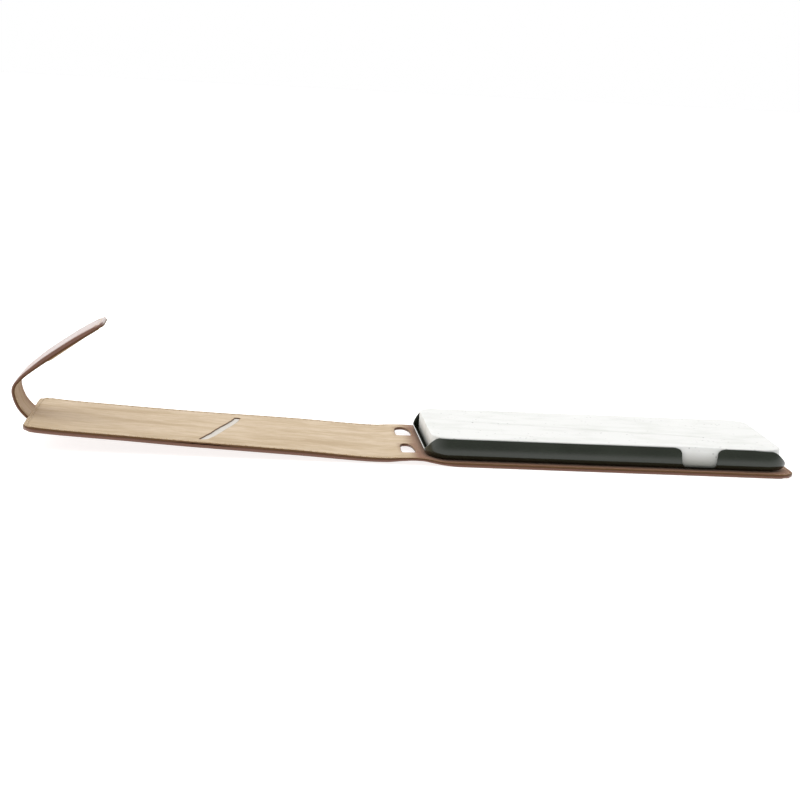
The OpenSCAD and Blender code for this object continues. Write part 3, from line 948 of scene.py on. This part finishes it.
def shellPath():
    # places round the shell's outline: x, y, outward normal, wall height
    x0, x1 = shellLow.x / mm, shellHigh.x / mm
    y1 = shellHigh.y / mm
    r = shell["corner"]
    middle = shell["notchMiddle"]
    notch = notchRows()
    reach = notch[-1][0] + 0.6
    full = (shellHigh.z - shellLow.z) / mm

    def sag(x):
        return full - shell["rightSag"] * float(ease(x, 54, 63))

    def corner(cx, cy, a0):
        return [(cx + r * math.cos(a), cy + r * math.sin(a), math.cos(a), math.sin(a), None)
                for a in np.radians(np.linspace(a0, a0 + 90, 31))]

    rows = [(x, -y1, 0, -1, full) for x in np.linspace(x0 + r, middle - reach, 62)[1:]]
    rows += [(middle - d, -y1, 0, -1, h) for d, h in reversed(notch)]
    rows.append((middle, -y1, 0, -1, shell["notchFoot"]))
    rows += [(middle + d, -y1, 0, -1, h) for d, h in notch]
    rows += [(x, -y1, 0, -1, sag(x)) for x in np.linspace(middle + reach, x1 - r, 14)[:-1]]
    rows += corner(x1 - r, r - y1, -90)
    rows += [(x1, y, 1, 0, shell["rightLip"]) for y in np.linspace(r - y1, y1 - r, 60)[1:-1]]
    rows += corner(x1 - r, y1 - r, 0)
    rows += [(x, y1, 0, 1, sag(x)) for x in np.linspace(x1 - r, x0 + r, 90)[1:-1]]
    rows += corner(x0 + r, y1 - r, 90)
    rows += [(x0, y, -1, 0, shell["lip"]) for y in np.linspace(y1 - r, r - y1, 60)[1:-1]]
    rows += corner(x0 + r, r - y1, 180)
    return [(x, y, nx, ny, cornerHeight(x, nx, ny, sag) if h is None else h) for x, y, nx, ny, h in rows]


def cornerHeight(x, nx, ny, sag):
    angle = math.degrees(math.atan2(abs(ny), abs(nx)))
    climb = shell["rightClimb" if x > 0 else "leftClimb"]
    low = shell["rightLip" if x > 0 else "lip"]
    return low + (sag(x) - low) * float(ease(angle, *climb))


def makeShell():
    z0 = shellLow.z / mm
    wall, floorT, roll, soft = shell["wall"], shell["floor"], shell["roll"], shell["rimRound"]
    foot = shell["rollHeight"]
    rings = []
    for x, y, nx, ny, h in shellPath():
        top = h - soft
        reach = min(1.0, top / foot)
        ring = []
        for k in range(10):  # the rolled foot, cut short where the wall is low
            z = foot * reach * (1 - math.cos(math.radians(10 * k)))
            ring.append((-roll * (1 - math.sqrt(max(0, 1 - (1 - z / foot) ** 2))), z))
        last = ring[-1][0]
        full = shellHigh.z / mm - z0 - foot
        for k in range(1, 7):  # the side, leaning in towards the rim
            z = foot * reach + (top - foot * reach) * k / 6
            lean = shell["lean"] * max(0, (z - foot) / full) ** 1.6
            ring.append((last * (1 - k / 6) - lean, z))
        last = ring[-1][0]
        for a in np.radians(np.arange(15, 181, 15)):  # the rounded rim
            ring.append((last - soft * (1 - math.cos(a)), top + soft * math.sin(a)))
        last = ring[-1][0]
        ring += [(last + (-wall - last) * k / 4, top + (floorT - top) * k / 4) for k in range(1, 5)]
        ring.append((-roll - 0.6, floorT))
        rings.append([(x + nx * o, y + ny * o, z0 + z) for o, z in ring])
    n, count = len(rings[0]), len(rings)
    verts = np.array([v for ring in rings for v in ring])
    faces = [(i * n + k, (i + 1) % count * n + k, (i + 1) % count * n + k + 1, i * n + k + 1)
             for i in range(count) for k in range(n - 1)]
    wallObj = newObject("holderShellWall", verts * mm, faces, shellFinish,
                        {"rest": verts * mm, "edge": np.zeros(len(verts))})
    x0, x1 = shellLow.x / mm + roll, shellHigh.x / mm - roll
    y1 = shellHigh.y / mm - roll
    r = shell["corner"] - roll
    floorObj = slab("holderShellFloor", counterClockwise(roundedBox(x0, x1, -y1, y1, (r, r, r, r), 1.2)),
                    [cameraLoop()], 3.0, lambda x, y: z0 + floorT + 0 * x, lambda x, y: z0 + 0 * x,
                    (0.3, 0.2, 0.2), shellFinish, asIs)
    for obj in (wallObj, floorObj):
        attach(obj, "back")
    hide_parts("holder_shell")


makeShell()
print("holder shell")

# the white form block
form = {"corner": 8.0, "edge": 0.4, "proud": 0.32, "dent": 0.34,
        "crease": [(-65.6, 4.8), (-26.0, 0.8), (1.2, -4.7), (36.0, -10.7), (61.0, -16.5)]}


def creaseDepth(x, y):
    line = smoothLine(form["crease"])
    away = y - line(x) - np.array([0.5 * noise.noise(Vector((a * 0.12, 3, 0))) for a in x])
    along = ease(x, -66, -40) * (1 - ease(x, 50, 64))
    return form["dent"] * along * (np.exp(-(away / 0.6) ** 2) - 0.45 * np.exp(-((away - 1.6) / 1.3) ** 2))


def makeForm():
    low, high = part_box("form_block")
    x0, x1, y1 = low.x / mm, high.x / mm, high.y / mm
    z0, z1 = low.z / mm, high.z / mm
    r = form["corner"]

    def top(x, y):
        wave = [0.10 * noise.noise(Vector((a * 0.05, b * 0.08, 9)))
                + 0.04 * noise.noise(Vector((a * 0.4, b * 0.5, 4))) for a, b in zip(x, y)]
        return z1 + form["proud"] + np.array(wave) - creaseDepth(x, y)

    outline = counterClockwise(roundedBox(x0, x1, -y1, y1, (r, r, r, r), 0.8))
    block = slab("whiteForm", outline, [], 0.95, top, lambda x, y: z0 + 0 * x,
                 (form["edge"], form["edge"], 0.3), formFinish, asIs, 0.08)
    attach(block, "back")
    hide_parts("form_block")


makeForm()
print("form block")

# stitching


def stitchRow(path, height, way=1, sink=0.0):
    # stitches along a list of places; each dips into its holes at both ends
    a = np.array(path)
    dist = np.concatenate([[0], np.cumsum(np.linalg.norm(np.diff(a, axis=0), axis=1))])
    count = int(dist[-1] / stitching["pitch"])
    start = (dist[-1] - (count - 1) * stitching["pitch"]) / 2
    rails = []
    for i in range(count):
        slip = 0.25 * noise.noise(Vector((i * 1.7, dist[-1], 0)))
        rail = []
        for t in np.linspace(-0.5, 0.5, 7):
            s = start + i * stitching["pitch"] + t * stitching["length"] + slip
            x, y = (float(np.interp(s, dist, a[:, k])) for k in (0, 1))
            hump = stitching["thick"] * (0.42 - 0.75 * (2 * abs(t)) ** 2.6)
            rail.append((x, y, float(height([x], [y])[0]), (hump - sink) * way))
        rails.append(rail)
    return rails


def stitchPiece(name, rails, place, zone, nodes):
    verts, faces, ends = [], [], []
    r = stitching["thick"] / 2
    sides = 8
    for rail in rails:
        points = [Vector(place(x, y, z + up)) for x, y, z, up in rail]
        over = Vector(place(rail[3][0], rail[3][1], rail[3][2] + rail[3][3] + 1.0)) - points[3]
        base = len(verts)
        last = len(points) - 1
        for i, p in enumerate(points):
            ahead = (points[min(i + 1, last)] - points[max(i - 1, 0)]).normalized()
            across = ahead.cross(over).normalized()
            upward = across.cross(ahead)
            thin = r * (0.55 if i in (0, last) else 1.0)
            verts += [p + (across * math.cos(a) + upward * math.sin(a) * 0.8) * thin
                      for a in (2 * math.pi * k / sides for k in range(sides))]
            # how near each ring is to an end of its stitch, which the thread finish uses to paint shade at
            # the holes
            ends += [abs(2 * i / last - 1) ** 2] * sides
        for i in range(last):
            row = base + i * sides
            faces += [(row + k, row + (k + 1) % sides, row + sides + (k + 1) % sides, row + sides + k)
                      for k in range(sides)]
        faces.append(tuple(base + k for k in range(sides))[::-1])
        faces.append(tuple(base + last * sides + k for k in range(sides)))
    verts = np.array([tuple(v) for v in verts])
    obj = newObject(name, verts * mm, faces, threadFinish, {"rest": verts * mm, "edge": ends})
    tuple(zone[0])
    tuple(zone[1])
    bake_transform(obj)
    if nodes:
        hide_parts(*nodes)


def cornerRun(cx, cy, r, start, end):
    return [(cx + r * math.cos(math.radians(a)), cy + r * math.sin(math.radians(a)))
            for a in np.linspace(start, end, 9)]


def makeStitching():
    gap = stitching["inset"]
    half, wide = halfCover - gap, halfBack - gap
    r = cover["corner"] - gap
    cx = coverEnd + cover["corner"]
    run = ([(leather["seam"] - 0.3, half)] + cornerRun(cx, half - r, r, 90, 180)
           + cornerRun(cx, r - half, r, 180, 270) + [(leather["seam"] - 0.3, -half)])
    sink = stitching["sink"]
    stitchPiece("coverStitches", stitchRow(run, skinTop, 1, -0.03) + stitchRow(run, skinBottom, -1), asIs,
                coverFold, ["cover_thread"])
    r = 8.0 - gap
    run = ([(leather["seam"] + 0.3, half), (-74.0, half), (-66.0, wide)]
           + cornerRun(backEnd - 8, wide - r, r, 90, 0) + cornerRun(backEnd - 8, r - wide, r, 0, -90)
           + [(-66.0, -wide), (-74.0, -half), (leather["seam"] + 0.3, -half)])
    stitchPiece("backStitches", stitchRow(run, skinTop, 1, stitching["backSink"])
                + stitchRow(run, skinBottom, -1, sink), asIs,
                backFold, ["back_thread", "spine_thread"])
    edge = halfStrap - strap["stitchInset"]
    r = strap["tipCorner"] - strap["stitchInset"]
    end = strapEnd - strap["tipCorner"]
    split = strap["split"]
    rails = []
    for side in (edge, -edge):
        run = [(0.6, side), (split - 0.2, side)]
        rails += stitchRow(run, strapTop) + stitchRow(run, strapUnder, -1, sink)
    stitchPiece("rootStitches", rails, onStrap, strapZone("rootZone"), [])
    run = ([(split + 0.2, edge)] + cornerRun(end, edge - r, r, 90, 0) + cornerRun(end, r - edge, r, 0, -90)
           + [(split + 0.2, -edge)])
    rails = stitchRow(run, strapTop, 1, sink) + stitchRow(run, strapUnder, -1, sink)
    stitchPiece("tabStitches", rails, onStrap, strapZone("tabZone"),
                ["tab_thread"])


makeStitching()
print("stitching")

hidden = (("keeper_plate", steelFinish), ("tab_magnet", steelFinish), ("shell_tape", tapeFinish))
for nodeName, finish in hidden:
    mesh = frame["nodes"][nodeName].data
    mesh.materials.clear()
    mesh.materials.append(finish)
